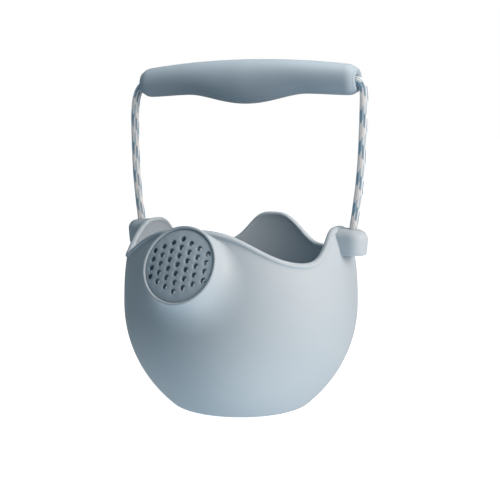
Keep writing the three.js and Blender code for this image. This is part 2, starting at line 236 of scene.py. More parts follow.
# spout: a round tube that looks up a little and flares into the bowl at its root
spout_tilt = math.radians(23.3)
spout_radius, spout_wall = 25.1 * mm, 2 * mm
lip_round = spout_wall / 2
spout_height, spout_projection = 102.7 * mm, 7.6 * mm
spout_out = np.array([0, -math.cos(spout_tilt), math.sin(spout_tilt)])
spout_up = np.array([0, math.sin(spout_tilt), math.cos(spout_tilt)])
spout_side = np.array([1.0, 0, 0])
spout_centre = np.array(
    [0, -(float(outer_radius(spout_height)) + spout_projection), spout_height]
)
throat_radius = 19 * mm
rose_recess, rose_thickness, touch_gap = 1.0 * mm, 2.8 * mm, 0.3 * mm
seat_depth = rose_recess + rose_thickness + touch_gap
foot_top, foot_bottom, foot_half_width = 121.6 * mm, 57 * mm, 40 * mm
throat_top, throat_bottom, throat_half_width = 114 * mm, 70 * mm, 30 * mm
around_spout, flare_steps, throat_steps, lip_steps = 168, 26, 16, 8
spout_turn = 1.5 * math.pi  # the spout's place round the bowl


def on_spout(radius, angle, back):
    return (
        spout_centre
        + radius * math.sin(angle) * spout_side
        + radius * math.cos(angle) * spout_up
        - back * spout_out
    )


def back_to_wall(start, radius_at):
    """The point straight back along the spout where the wall is reached."""
    near, far = 0.0, 60 * mm
    for _ in range(30):
        middle = (near + far) / 2
        point = start - spout_out * middle
        if math.hypot(point[0], point[1]) > radius_at(point[2]):
            near = middle
        else:
            far = middle
    return start - spout_out * near


def foot_on_wall(angle, top, bottom, half_width, radius_at):
    """Where a flare ends: its turn round the bowl and its distance up the wall."""
    run = (top + bottom) / 2 + (top - bottom) / 2 * math.cos(angle)
    return spout_turn + half_width * math.sin(angle) / float(radius_at(run)), run


def flare(lip, corner, foot, foot_normal, steps, neck=0.7, spread=0.6):
    """A curve from the lip straight back, then along the wall into its foot."""
    along = corner - foot
    along = along - foot_normal * (along @ foot_normal)
    return bezier(lip, between(lip, corner, neck), foot + along * spread, foot, steps)


def skin_normal(surface, turn, run):
    small_turn, small_run = 0.003, 0.2 * mm
    here = surface(turn, run)
    sideways = surface(turn + small_turn, run) - here
    up = surface(turn, run + small_run) - here
    normal = np.cross(sideways, up)
    return normal / np.linalg.norm(normal)


def inner_skin(turn, run):
    return on_turn(inner_radius(run), turn, run)


spout_angles = np.linspace(0, 2 * math.pi, around_spout, endpoint=False)
foot_oval = (foot_top, foot_bottom, foot_half_width, outer_radius)
throat_oval = (throat_top, throat_bottom, throat_half_width, inner_radius)
foot_places = [foot_on_wall(angle, *foot_oval) for angle in spout_angles]
throat_places = [foot_on_wall(angle, *throat_oval) for angle in spout_angles]
spout_columns = []
for angle, foot_place, throat_place in zip(spout_angles, foot_places, throat_places):
    # the outer flare, from the wall to the lip
    foot = outer_skin(*foot_place)
    lip_outside = on_spout(spout_radius, angle, lip_round)
    corner = back_to_wall(lip_outside, outer_radius)
    normal = skin_normal(outer_skin, *foot_place)
    outside = flare(lip_outside, corner, foot, normal, flare_steps)[::-1]
    column = list(outside) + [lip_outside]
    # the lip's half-round edge
    for step in range(1, lip_steps + 1):
        turn = math.pi * step / lip_steps
        radius = spout_radius - lip_round + lip_round * math.cos(turn)
        column.append(on_spout(radius, angle, lip_round * (1 - math.sin(turn))))
    # the rose's seat, with a small round in its corner and on its inner edge
    seat_radius = spout_radius - spout_wall
    for radius, back in (
        (seat_radius, 2.2 * mm),
        (seat_radius, seat_depth - 0.5 * mm),
        (seat_radius - 0.15 * mm, seat_depth - 0.12 * mm),
        (seat_radius - 0.5 * mm, seat_depth),
        (throat_radius + 0.6 * mm, seat_depth),
        (throat_radius + 0.15 * mm, seat_depth + 0.15 * mm),
    ):
        column.append(on_spout(radius, angle, back))
    # the throat, from the seat back to the inside of the wall
    throat_lip = on_spout(throat_radius, angle, seat_depth + 0.6 * mm)
    column.append(throat_lip)
    corner = back_to_wall(throat_lip, inner_radius)
    normal = skin_normal(inner_skin, *throat_place)
    throat_foot = inner_skin(*throat_place)
    column.extend(flare(throat_lip, corner, throat_foot, normal, throat_steps))
    spout_columns.append(column)
spout_grid = np.array(spout_columns)


def fill_between(points, edges):
    """Triangles over the area inside the outermost loop and outside the loops within it."""
    flat = [Vector(p) for p in points]
    _, _, triangles, came_from, _, _ = delaunay_2d_cdt(flat, edges, [], 0, 1e-8)
    triangles = [[came_from[i][0] for i in t] for t in triangles]
    points = np.asarray(points)
    middles = points[np.array(triangles)].mean(axis=1)
    a, b = points[np.array(edges)[:, 0]], points[np.array(edges)[:, 1]]
    crosses = (a[:, 1] > middles[:, 1:2]) != (b[:, 1] > middles[:, 1:2])
    rise = np.where(b[:, 1] == a[:, 1], 1, b[:, 1] - a[:, 1])
    at = a[:, 0] + (middles[:, 1:2] - a[:, 1]) * (b[:, 0] - a[:, 0]) / rise
    inside = (crosses & (middles[:, 0:1] < at)).sum(axis=1) % 2 == 1
    return [t for t, keep in zip(triangles, inside) if keep]


def numbered(rows, columns, first=0):
    return first + np.arange(rows * columns).reshape(rows, columns)


def quads(number, left_out=frozenset()):
    """Faces between rows of numbered points, each row closed round on itself."""
    number = np.asarray(number)
    beside = np.roll(number, -1, axis=1)
    corners = np.stack([number[:-1], beside[:-1], beside[1:], number[1:]], axis=-1)
    spots = np.ndindex(corners.shape[:2])
    faces = corners.reshape(-1, 4).tolist()
    return [face for spot, face in zip(spots, faces) if spot not in left_out]


body_points, body_faces = [], []


def add_grid(grid, left_out=frozenset()):
    """Adds rows of points that close round on themselves; gives back their numbers."""
    number = numbered(*grid.shape[:2], first=len(body_points))
    body_points.extend(grid.reshape(-1, 3))
    body_faces.extend(quads(number, left_out))
    return number


window_room = 1 * mm  # room between a flare's foot and the edge of the window cut for it
unrolled_radius = 75 * mm  # the wall is laid out flat at this radius to be stitched


def window(runs, places):
    """The faces of a grid to leave out, so that a flare's foot fits in with some room."""
    ring = np.array(places)
    top, bottom = ring[:, 1].max(), ring[:, 1].min()
    reach = (runs - (top + bottom) / 2) / ((top - bottom) / 2 + window_room)
    width = np.sqrt(np.clip(1 - reach**2, 0, None))
    widest = np.abs(ring[:, 0] - spout_turn).max() * unrolled_radius + window_room
    away = np.abs(turns - spout_turn) * unrolled_radius
    covered = (np.abs(reach) < 1) & (away < widest * width)
    touched = covered[:-1] | covered[1:]
    touched |= np.roll(touched, -1, axis=1)
    return {tuple(spot) for spot in np.argwhere(touched).tolist()}


def stitch(number, runs, cut, ring_number, ring_places):
    """Fills the strip between a grid's window and a foot ring, flat on the wall."""
    uses = {}
    columns = runs.shape[1]
    for row, column in cut:
        beside = (column + 1) % columns
        for edge in (
            ((row, column), (row, beside)),
            ((row + 1, column), (row + 1, beside)),
            ((row, column), (row + 1, column)),
            ((row, beside), (row + 1, beside)),
        ):
            edge = (min(edge), max(edge))
            uses[edge] = uses.get(edge, 0) + 1
    border = [edge for edge, count in uses.items() if count == 1]
    spots = sorted({spot for edge in border for spot in edge})
    place = {spot: i for i, spot in enumerate(spots)}
    flat = [(turns[column] * unrolled_radius, runs[row, column]) for row, column in spots]
    flat += [(turn * unrolled_radius, run) for turn, run in ring_places]
    edges = [(place[a], place[b]) for a, b in border]
    first, count = len(spots), len(ring_places)
    edges += [(first + i, first + (i + 1) % count) for i in range(count)]
    numbers = [number[spot] for spot in spots] + list(ring_number)
    for triangle in fill_between(flat, edges):
        body_faces.append([numbers[i] for i in triangle])


outer_cut = window(outer_runs, foot_places)
inner_cut = window(inner_runs, throat_places)
outer_number = add_grid(outer_grid, outer_cut)
inner_number = add_grid(inner_grid, inner_cut)
spout_number = add_grid(np.swapaxes(spout_grid, 0, 1))
stitch(outer_number, outer_runs, outer_cut, spout_number[0], foot_places)
stitch(inner_number, inner_runs, inner_cut, spout_number[-1], throat_places)
# the crown joins the two skins, and the base and floor close at the middle
body_faces += quads([outer_number[-1], inner_number[0]])
base_profile = [(3 * mm, 0), (14 * mm, 0), (28 * mm, 0), *outline[:base_steps]]
base_number = add_grid(np.array([on_turn(r, turns, z) for r, z in base_profile]))
body_faces += quads([base_number[-1], outer_number[0]])
for ring, height in ((base_number[0], 0), (inner_number[-1], floor_thickness)):
    pole = len(body_points)
    body_points.append(np.array([0, 0, height]))
    for column in range(around):
        body_faces.append([ring[column], ring[(column + 1) % around], pole])


def face_out(piece, sharp):
    """Turns a closed mesh's faces out and keeps crisp the corners past an angle."""
    shape = bmesh.new()
    shape.from_mesh(piece.data)
    bmesh.ops.remove_doubles(shape, verts=shape.verts, dist=1e-7)
    bmesh.ops.dissolve_degenerate(shape, edges=shape.edges, dist=1e-7)
    bmesh.ops.recalc_face_normals(shape, faces=shape.faces)
    if shape.calc_volume(signed=True) < 0:
        bmesh.ops.reverse_faces(shape, faces=shape.faces)
    shape.to_mesh(piece.data)
    shape.free()
    piece.data.shade_smooth()
    piece.data.set_sharp_from_angle(angle=math.radians(sharp))


def mesh_object(name, points, faces):
    mesh = bpy.data.meshes.new(name)
    mesh.from_pydata([tuple(p) for p in points], [], [[int(i) for i in f] for f in faces])
    made = put(name, mesh)
    face_out(made, 50)
    return made


can_body = mesh_object("can_body_silicone", body_points, body_faces)

# lugs: half-round blocks with a soft top, a rope hole down through it and a wider pocket for
# the knot, open below
lug_radius, lug_top, lug_bottom = 9.5 * mm, 121 * mm, 103.9 * mm
lug_round, lug_draft, lug_edge, lug_slope = 5.6 * mm, 0.7 * mm, 0.8 * mm, 0.075
rope_hole_x = float(outer_radius(lug_bottom)) + 4.4 * mm
rope_hole_radius, hole_edge = 3.2 * mm, 0.5 * mm
pocket_x, pocket_radius, pocket_top = rope_hole_x + 0.8 * mm, 5.4 * mm, 115.8 * mm
lug_end_x = rope_hole_x - 0.4 * mm  # centre of the half-round end


def lug_outline(inset, height):
    """A D with its straight sides running back into the wall."""
    half = lug_radius - inset
    wall_middle = float(outer_radius(height)) - wall / 2
    side_x = math.sqrt(wall_middle**2 - half**2)
    points = []
    for share in np.linspace(0, 1, 11)[:-1]:
        points.append((between(side_x, lug_end_x, share), -half))
    for turn in np.linspace(-math.pi / 2, math.pi / 2, 27):
        points.append((lug_end_x + half * math.cos(turn), half * math.sin(turn)))
    for share in np.linspace(0, 1, 11)[1:]:
        points.append((between(lug_end_x, side_x, share), half))
    for share in np.linspace(1, -1, 10)[1:-1]:
        points.append((math.sqrt(wall_middle**2 - (half * share) ** 2), half * share))
    return np.array(points)


def lug_roof(points):
    """Height of the lug's top: it falls a little outwards and rounds off at its edges."""
    past = np.clip(points[:, 0] - lug_end_x, 0, None)
    inset = np.clip(lug_radius - np.hypot(past, points[:, 1]), 0, lug_round)
    drop = lug_round - np.sqrt(lug_round**2 - (lug_round - inset) ** 2)
    return lug_top - lug_slope * (points[:, 0] - mouth_radius) - drop


def lug_shell(side):
    """A lug as one closed skin: up its sides, over its top, down the hole and the pocket."""
    rings = []
    shoulder = lug_outline(0, lug_top - lug_round)
    angles = np.arctan2(shoulder[:, 1], shoulder[:, 0] - rope_hole_x)
    lowest, plan_height = lug_bottom + lug_edge, lug_top - 2 * mm
    roof_inset = lug_round - 0.9 * mm

    def circle(x, radius, height):
        ring = np.column_stack([x + radius * np.cos(angles), radius * np.sin(angles)])
        return np.column_stack([ring, np.broadcast_to(height, len(ring))])

    for turn in np.linspace(0, math.pi / 2, 5)[:-1]:
        inset = lug_draft + lug_edge * (1 - math.sin(turn))
        height = lug_bottom + lug_edge * (1 - math.cos(turn))
        plan = lug_outline(inset, height)
        rings.append(np.column_stack([plan, np.full(len(plan), height)]))
    for share in np.linspace(0, 1, 9)[:-1]:
        height = between(lowest, lug_top - lug_round, share)
        plan = lug_outline(lug_draft * (1 - share) ** 1.3, height)
        roof = lug_roof(lug_outline(0, height))
        rings.append(np.column_stack([plan, between(lowest, roof, share)]))
    for turn in np.linspace(0, math.pi / 2, 12):
        plan = lug_outline(roof_inset * (1 - math.cos(turn)), plan_height)
        rings.append(np.column_stack([plan, lug_roof(plan)]))
    last = rings[-1][:, :2]
    mouth = circle(rope_hole_x, rope_hole_radius + hole_edge, 0)[:, :2]
    for share in (0.25, 0.5, 0.75, 1):
        plan = between(last, mouth, share)
        rings.append(np.column_stack([plan, lug_roof(plan)]))
    brim = rings[-1][:, 2]
    for turn in np.linspace(0, math.pi / 2, 5)[1:]:
        radius = rope_hole_radius + hole_edge * (1 - math.sin(turn))
        rings.append(circle(rope_hole_x, radius, brim - hole_edge * (1 - math.cos(turn))))
    for x, radius, height in (
        (rope_hole_x, rope_hole_radius, pocket_top + 0.4 * mm),
        (rope_hole_x, rope_hole_radius + 0.3 * mm, pocket_top),
        (pocket_x, pocket_radius - 0.5 * mm, pocket_top),
        (pocket_x, pocket_radius, pocket_top - 0.5 * mm),
        (pocket_x, pocket_radius, lug_bottom + 0.4 * mm),
        (pocket_x, pocket_radius + 0.3 * mm, lug_bottom),
    ):
        rings.append(circle(x, radius, height))
    rings = np.array(rings)
    rings[:, :, 0] *= side
    rings[:, :, 1] += lug_set_back
    number = numbered(*rings.shape[:2])
    return mesh_object("lug", rings.reshape(-1, 3), quads([*number, number[0]]))


def finished(piece):
    """The piece as its modifiers leave it, as one plain mesh."""
    seen = piece.evaluated_get(bpy.context.evaluated_depsgraph_get())
    mesh = bpy.data.meshes.new_from_object(seen)
    piece.modifiers.clear()
    piece.data = mesh
    return piece


lugs = [lug_shell(side) for side in (1, -1)]
for lug in lugs:
    join = can_body.modifiers.new("lug", "BOOLEAN")
    join.object, join.operation, join.solver = lug, "UNION", "EXACT"
finished(can_body)
for lug in lugs:
    bpy.data.objects.remove(lug)
can_body.data.shade_smooth()
can_body.data.set_sharp_from_angle(angle=math.radians(38))


def feed(tree, socket, value):
    """Sets a socket to a number, or links another node's output to it."""
    if isinstance(value, bpy.types.NodeSocket):
        tree.links.new(value, socket)
    else:
        socket.default_value = value


def add_node(tree, kind, **inputs):
    """A node with its inputs fed by name, a double underscore for a space."""
    node = tree.nodes.new(kind)
    for label, value in inputs.items():
        feed(tree, node.inputs[label.replace("__", " ")], value)
    return node


def new_material(name, **finish):
    """A material with its shader's own numbers set; gives back its tree and shader too."""
    material = bpy.data.materials.new(name)
    material.use_nodes = True
    shader = material.node_tree.nodes["Principled BSDF"]
    for label, value in finish.items():
        shader.inputs[label.replace("__", " ")].default_value = value
    return material, material.node_tree, shader


def noise(tree, scale, detail):
    place = add_node(tree, "ShaderNodeTexCoord").outputs["Object"]
    return add_node(tree, "ShaderNodeTexNoise", Vector=place, Scale=scale, Detail=detail)


def roughen(tree, shader, height, strength, distance):
    """Small bumps over the shader's surface."""
    bump = add_node(tree, "ShaderNodeBump", Strength=strength, Distance=distance, Height=height)
    tree.links.new(bump.outputs["Normal"], shader.inputs["Normal"])


def silicone(name, colour, shade, roughness):
    """Matt moulded silicone: a faint cloudiness in the colour and a fine bloom on the skin."""
    material, tree, shader = new_material(
        name, Specular__IOR__Level=0.62, IOR=1.42, Sheen__Weight=0.12, Sheen__Roughness=0.5
    )
    tint = add_node(tree, "ShaderNodeValToRGB", Fac=noise(tree, scale=22, detail=3).outputs["Fac"])
    for stop, position, stop_colour in zip(tint.color_ramp.elements, (0.3, 0.7), (shade, colour)):
        stop.position, stop.color = position, (*stop_colour, 1)
    tree.links.new(tint.outputs["Color"], shader.inputs["Base Color"])
    patches = noise(tree, scale=140, detail=4).outputs["Fac"]
    rough = add_node(tree, "ShaderNodeMapRange", Value=patches)
    rough.inputs["To Min"].default_value = roughness - 0.05
    rough.inputs["To Max"].default_value = roughness + 0.05
    tree.links.new(rough.outputs["Result"], shader.inputs["Roughness"])
    grain = noise(tree, scale=1500, detail=2).outputs["Fac"]
    roughen(tree, shader, grain, strength=0.25, distance=0.06 * mm)
    return material


can_silicone = silicone("can_silicone", (0.35, 0.435, 0.5), (0.335, 0.42, 0.485), 0.56)
can_body.data.materials.clear()
can_body.data.materials.append(can_silicone)
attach(can_body, "can")
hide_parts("can_body")

# ---- rose ---------------------------------------------------------------------------------
# A separate silicone disc with a shallow dome on its front, 2.8 mm thick at its edge, pressed
# into the spout's seat. It has 37 moulded holes in a hexagon, each with a small round edge.

rose_radius, rose_edge, rose_dome = spout_radius - spout_wall - touch_gap, 0.3 * mm, 2.4 * mm
rose_row_pitch, rose_column_pitch, rose_rings = 5.5 * mm, 6.1 * mm, 3
rose_hole_radius, rose_hole_edge = 1.8 * mm, 0.12 * mm
around_rose, around_hole, edge_steps = 144, 24, 4


def ring_of(radius, height, count):
    turn = np.linspace(0, 2 * math.pi, count, endpoint=False)
    return np.column_stack([radius * np.cos(turn), radius * np.sin(turn), np.full(count, height)])


def edge_rings(radius, edge, count):
    """Rings down through the disc; a hole's edge flares out, and the rim's is less than 0."""
    rings = []
    turns_down = np.linspace(0, math.pi / 2, edge_steps + 1)
    for face, sign, edge_turns in ((0, -1, turns_down), (-rose_thickness, 1, turns_down[::-1])):
        for turn in edge_turns:
            depth = face + sign * abs(edge) * (1 - math.cos(turn))
            rings.append(ring_of(radius + edge * (1 - math.sin(turn)), depth, count))
    return rings


hole_rings = edge_rings(rose_hole_radius, rose_hole_edge, around_hole)
hole_mesh = bpy.data.meshes.new("hole")
hole_faces = quads(numbered(len(hole_rings), around_hole))
hole_mesh.from_pydata(np.vstack(hole_rings).tolist(), [], hole_faces)
hole_shape = put("hole", hole_mesh)

hole_middles = []
for column in range(-rose_rings, rose_rings + 1):
    for row in range(-rose_rings, rose_rings + 1):
        if abs(column + row) <= rose_rings:
            middle = (column * rose_column_pitch, (row + column / 2) * rose_row_pitch, 0)
            hole_middles.append(middle)
# the two faces: all that lies inside the rim and outside the holes
plate_points, plate_faces = [], []
for height in (0, -rose_thickness):
    hole_rim = ring_of(rose_hole_radius + rose_hole_edge, height, around_hole)
    loops = [ring_of(rose_radius - rose_edge, height, around_rose)]
    loops += [hole_rim + middle for middle in hole_middles]
    edges, start = [], 0
    for loop in loops:
        edges += [(start + i, start + (i + 1) % len(loop)) for i in range(len(loop))]
        start += len(loop)
    flat = np.vstack(loops)
    first = len(plate_points)
    plate_points.extend(flat)
    for triangle in fill_between(flat[:, :2].tolist(), edges):
        plate_faces.append([first + i for i in triangle])
rim_rings = edge_rings(rose_radius, -rose_edge, around_rose)
plate_faces += quads(numbered(len(rim_rings), around_rose, len(plate_points)))
plate_points.extend(np.vstack(rim_rings))
rose_mesh = bpy.data.meshes.new("rose_disc")
rose_mesh.from_pydata([tuple(p) for p in plate_points], [], plate_faces)
rose = put("rose_disc", rose_mesh)

rose_silicone = silicone("rose_silicone", (0.3, 0.4, 0.48), (0.29, 0.385, 0.465), 0.58)


class ShapeTree:
    """A geometry node tree with one geometry in and out, and a named input for each size."""

    def __init__(self, name, sizes):
        self.group = bpy.data.node_groups.new(name, "GeometryNodeTree")
        add = self.group.interface.new_socket
        add("Geometry", in_out="INPUT", socket_type="NodeSocketGeometry")
        for label, kind in sizes.items():
            add(label, in_out="INPUT", socket_type="NodeSocket" + kind)
        add("Geometry", in_out="OUTPUT", socket_type="NodeSocketGeometry")
        self.given = self.group.nodes.new("NodeGroupInput").outputs
        self.made = self.group.nodes.new("NodeGroupOutput").inputs[0]

    def node(self, kind, **inputs):
        return add_node(self.group, kind, **inputs)

    def shape(self, kind, **inputs):
        """The first output of a geometry node."""
        return self.node("GeometryNode" + kind, **inputs).outputs[0]

    def calc(self, operation, *values, kind="ShaderNodeMath"):
        """One arithmetic node; each value is a number or another node's output."""
        node = self.group.nodes.new(kind)
        node.operation = operation
        for socket, value in zip(node.inputs, values):
            feed(self.group, socket, value)
        return node.outputs[0]

    def link(self, start, end):
        self.group.links.new(start, end)

    def finish(self, geometry, material):
        """Makes every copy real, gives it its material and hands it out."""
        real = self.shape("RealizeInstances", Geometry=geometry)
        self.link(self.shape("SetMaterial", Geometry=real, Material=material), self.made)


def grown(piece, tree, sizes):
    """Runs a tree on a piece with the given sizes, and keeps what it makes as a mesh."""
    modifier = piece.modifiers.new(tree.group.name, "NODES")
    modifier.node_group = tree.group
    for item in tree.group.interface.items_tree:
        if item.in_out == "INPUT" and item.name in sizes:
            modifier[item.identifier] = sizes[item.name]
    return finished(piece)


drilling = ShapeTree(
    "rose_holes",
    {
        "Hole": "Object",
        "Row Pitch": "Float",
        "Column Pitch": "Float",
        "Rings": "Float",
        "Silicone": "Material",
    },
)
given = drilling.given
span = drilling.calc("MULTIPLY", given["Rings"], 2)
count = drilling.calc("ADD", span, 1)
lattice = drilling.shape("MeshGrid", Size__X=span, Size__Y=span, Vertices__X=count, Vertices__Y=count)
# only the points within the hexagon are kept
step = drilling.node("ShaderNodeSeparateXYZ", Vector=drilling.shape("InputPosition")).outputs
ring_number = drilling.calc("ABSOLUTE", drilling.calc("ADD", step[0], step[1]))
just_past = drilling.calc("ADD", given["Rings"], 0.1)
outside = drilling.calc("GREATER_THAN", ring_number, just_past)
hexagon = drilling.shape("DeleteGeometry", Geometry=lattice, Selection=outside)
# and they are spread to the pitches, each column half a row off the next
across = drilling.calc("MULTIPLY", step[0], given["Column Pitch"])
half_step = drilling.calc("MULTIPLY_ADD", step[0], 0.5, step[1])
up = drilling.calc("MULTIPLY", half_step, given["Row Pitch"])
spot = drilling.node("ShaderNodeCombineXYZ", X=across, Y=up).outputs[0]
spread = drilling.shape("SetPosition", Geometry=hexagon, Position=spot)
one_hole = drilling.node("GeometryNodeObjectInfo", Object=given["Hole"]).outputs["Geometry"]
holes = drilling.shape("InstanceOnPoints", Points=spread, Instance=one_hole)
whole = drilling.node("GeometryNodeJoinGeometry")
drilling.link(holes, whole.inputs[0])
drilling.link(given["Geometry"], whole.inputs[0])
drilling.finish(whole.outputs[0], given["Silicone"])
rose_sizes = {
    "Hole": hole_shape,
    "Row Pitch": rose_row_pitch,
    "Column Pitch": rose_column_pitch,
    "Rings": float(rose_rings),
    "Silicone": rose_silicone,
}
grown(rose, drilling, rose_sizes)
bpy.data.objects.remove(hole_shape)
# the front swells to a shallow dome; the back stays flat
for point in rose.data.vertices:
    out = 1 - (point.co.x**2 + point.co.y**2) / rose_radius**2
    point.co.z += rose_dome * out * (1 + point.co.z / rose_thickness)
rose_turn = Matrix(np.column_stack([spout_side, spout_up, spout_out]).tolist()).to_4x4()
rose_middle = Vector(spout_centre - spout_out * rose_recess)
rose.data.transform(Matrix.Translation(rose_middle) @ rose_turn)
face_out(rose, 38)
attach(rose, "rose")
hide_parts("rose")

# ---- rope ---------------------------------------------------------------------------------
# One length of 5.6 mm polyester braid, white with blue tracer strands. It comes up through
# the right lug, runs through the grip and goes down into the left lug.

rope_diameter, pivot_height = 5.6 * mm, 124 * mm
handle_lean, grip_rise = math.radians(1.2), 89.8 * mm
# the rope's line in the handle's plane: distance from the middle and rise above the pivot, in
# mm, up a leg, round each bend into the grip and on through it
rope_leg = [(79.6, 0), (80.4, 5), (81.3, 12), (82.2, 19), (82.9, 26), (83.5, 34)]
rope_leg += [(84.0, 44), (84.35, 54), (84.55, 64)]
right_bend = [(84.6, 74), (84.6, 81), (83.6, 86), (80.7, 89), (76.6, 89.8), (70, 89.8)]
left_bend = [(84.2, 74), (83.2, 80.5), (80.9, 85.6), (77.5, 88.9), (73.4, 89.8), (68, 89.8)]
rope_middle = [48, 24, 0, -24, -48]


def in_handle(x, rise):
    """A point of the handle's plane, which leans back a little."""
    y = lug_set_back + rise * math.sin(handle_lean)
    return (x, y, pivot_height + rise * math.cos(handle_lean))


rope_foot, in_lug = pocket_top + 0.2 * mm, 119.5 * mm
route = [(rope_hole_x, lug_set_back, rope_foot), (rope_hole_x, lug_set_back, in_lug)]
route += [in_handle(x * mm, rise * mm) for x, rise in rope_leg + right_bend]
route += [in_handle(x * mm, grip_rise) for x in rope_middle]
route += [in_handle(-x * mm, rise * mm) for x, rise in (rope_leg + left_bend)[::-1]]
route += [(-rope_hole_x, lug_set_back, in_lug), (-rope_hole_x, lug_set_back, rope_foot)]


def smooth_through(points, steps):
    """A smooth curve through given points, the same length of step all along."""
    points = np.array(points)
    padded = np.vstack([2 * points[0] - points[1], points, 2 * points[-1] - points[-2]])
    fine = []
    for i in range(1, len(padded) - 2):
        a, b, c, d = padded[i - 1 : i + 3]
        for t in np.linspace(0, 1, 24, endpoint=False):
            fine.append(
                0.5 * (2 * b + (c - a) * t + (2 * a - 5 * b + 4 * c - d) * t**2)
                + 0.5 * (3 * b - a - 3 * c + d) * t**3
            )
    fine.append(padded[-2])
    fine = np.array(fine)
    run = run_along(fine)
    even = np.linspace(0, run[-1], steps)
    return np.column_stack([np.interp(even, run, fine[:, k]) for k in range(3)]), run[-1]


rope_path, rope_length = smooth_through(route, 400)

strands, rope_lay = 14, 19.5 * mm  # strands each way, length of one turn
strand_width, strand_thickness = 0.7 * mm, 0.6 * mm
braid_radius, weave_lift = rope_diameter / 2 - 0.5 * mm, 0.22 * mm
first_tracer, tracers = 2, 6  # the dyed strands of each way
core_radius, sleeve_radius = rope_diameter / 2 - 0.62 * mm, rope_diameter * 0.49

braiding = ShapeTree(
    "rope_braid",
    {
        "Strands": "Float",
        "Lay": "Float",
        "Radius": "Float",
        "Weave": "Float",
        "Strand Width": "Float",
        "Strand Thickness": "Float",
        "Fibre": "Material",
    },
)
given = braiding.given


def carried(name, kind="FLOAT"):
    """What the points carry under a name."""
    node = braiding.node("GeometryNodeInputNamedAttribute", Name=name)
    node.data_type = kind
    return node.outputs["Attribute"]


def stored(geometry, name, value, kind="FLOAT"):
    """The same geometry, its points carrying a value under a name."""
    node = braiding.node("GeometryNodeStoreNamedAttribute", Geometry=geometry, Name=name)
    node.data_type = kind
    braiding.link(value, node.inputs["Value"])
    return node.outputs[0]


def scaled(direction, amount):
    node = braiding.node("ShaderNodeVectorMath")
    node.operation = "SCALE"
    braiding.link(direction, node.inputs[0])
    braiding.link(amount, node.inputs["Scale"])
    return node.outputs[0]


# one copy of the rope's line for each strand: first those that wind one way, then the other
line = braiding.shape("MeshToCurve", Mesh=given["Geometry"])
both_ways = braiding.calc("MULTIPLY", given["Strands"], 2)
copies = braiding.node("GeometryNodeDuplicateElements", Geometry=line, Amount=both_ways)
copies.domain = "SPLINE"
strand = copies.outputs["Duplicate Index"]
last_forwards = braiding.calc("SUBTRACT", given["Strands"], 0.5)
backwards = braiding.calc("GREATER_THAN", strand, last_forwards)
way = braiding.calc("MULTIPLY_ADD", backwards, -2, 1)
own = braiding.calc("MODULO", strand, given["Strands"])
turns_run = braiding.calc("DIVIDE", carried("run"), given["Lay"])
share_round = braiding.calc("DIVIDE", own, given["Strands"])
turns_now = braiding.calc("MULTIPLY_ADD", turns_run, way, share_round)
angle_now = braiding.calc("MULTIPLY", turns_now, 2 * math.pi)
# over two, under two: the same count of crossings, with opposite sign for the two ways
strands_run = braiding.calc("MULTIPLY", turns_run, given["Strands"])
passed = braiding.calc("ADD", own, braiding.calc("MULTIPLY", strands_run, way))
crossings = braiding.calc("MULTIPLY", passed, 2)
phase = braiding.calc("MULTIPLY", braiding.calc("SUBTRACT", crossings, 0.5), math.pi / 2)
wave = braiding.calc("MULTIPLY", braiding.calc("COSINE", phase), way)
radius_now = braiding.calc("MULTIPLY_ADD", wave, given["Weave"], given["Radius"])
outward = braiding.calc(
    "ADD",
    scaled(carried("side", "FLOAT_VECTOR"), braiding.calc("COSINE", angle_now)),
    scaled(carried("front", "FLOAT_VECTOR"), braiding.calc("SINE", angle_now)),
    kind="ShaderNodeVectorMath",
)
# the strands' facing is stored first, because it is read again once they have moved
lines = stored(copies.outputs[0], "facing", outward, "FLOAT_VECTOR")
# lift: how high each strand rides, 0 under a crossing and 1 over it; the fibre material reads it to
# paint shade where a strand dives under
lines = stored(lines, "lift", braiding.calc("MULTIPLY_ADD", wave, 0.5, 0.5))
lines = stored(lines, "strand", strand)
wound = braiding.shape("SetPosition", Geometry=lines, Offset=scaled(outward, radius_now))
faced = braiding.node("GeometryNodeSetCurveNormal", Curve=wound)
faced.mode = "FREE"
braiding.link(carried("facing", "FLOAT_VECTOR"), faced.inputs["Normal"])
# a strand's section is a flat oval
oval = braiding.node("ShaderNodeCombineXYZ", X=given["Strand Thickness"], Y=given["Strand Width"], Z=1)
section = braiding.shape("CurvePrimitiveCircle", Resolution=6)
section = braiding.shape("Transform", Geometry=section, Scale=oval.outputs[0])
swept = braiding.shape("CurveToMesh", Curve=faced.outputs[0], Profile__Curve=section, Fill__Caps=True)
braiding.finish(braiding.shape("SetShadeSmooth", Geometry=swept), given["Fibre"])


def multiplied(tree, colour, by, amount):
    """A colour darkened by another, by as much as the amount says."""
    mix = add_node(tree, "ShaderNodeMix")
    mix.data_type, mix.blend_type = "RGBA", "MULTIPLY"
    mix.inputs["Factor"].default_value = amount
    tree.links.new(colour, mix.inputs["A"])
    tree.links.new(by, mix.inputs["B"])
    return mix.outputs["Result"]


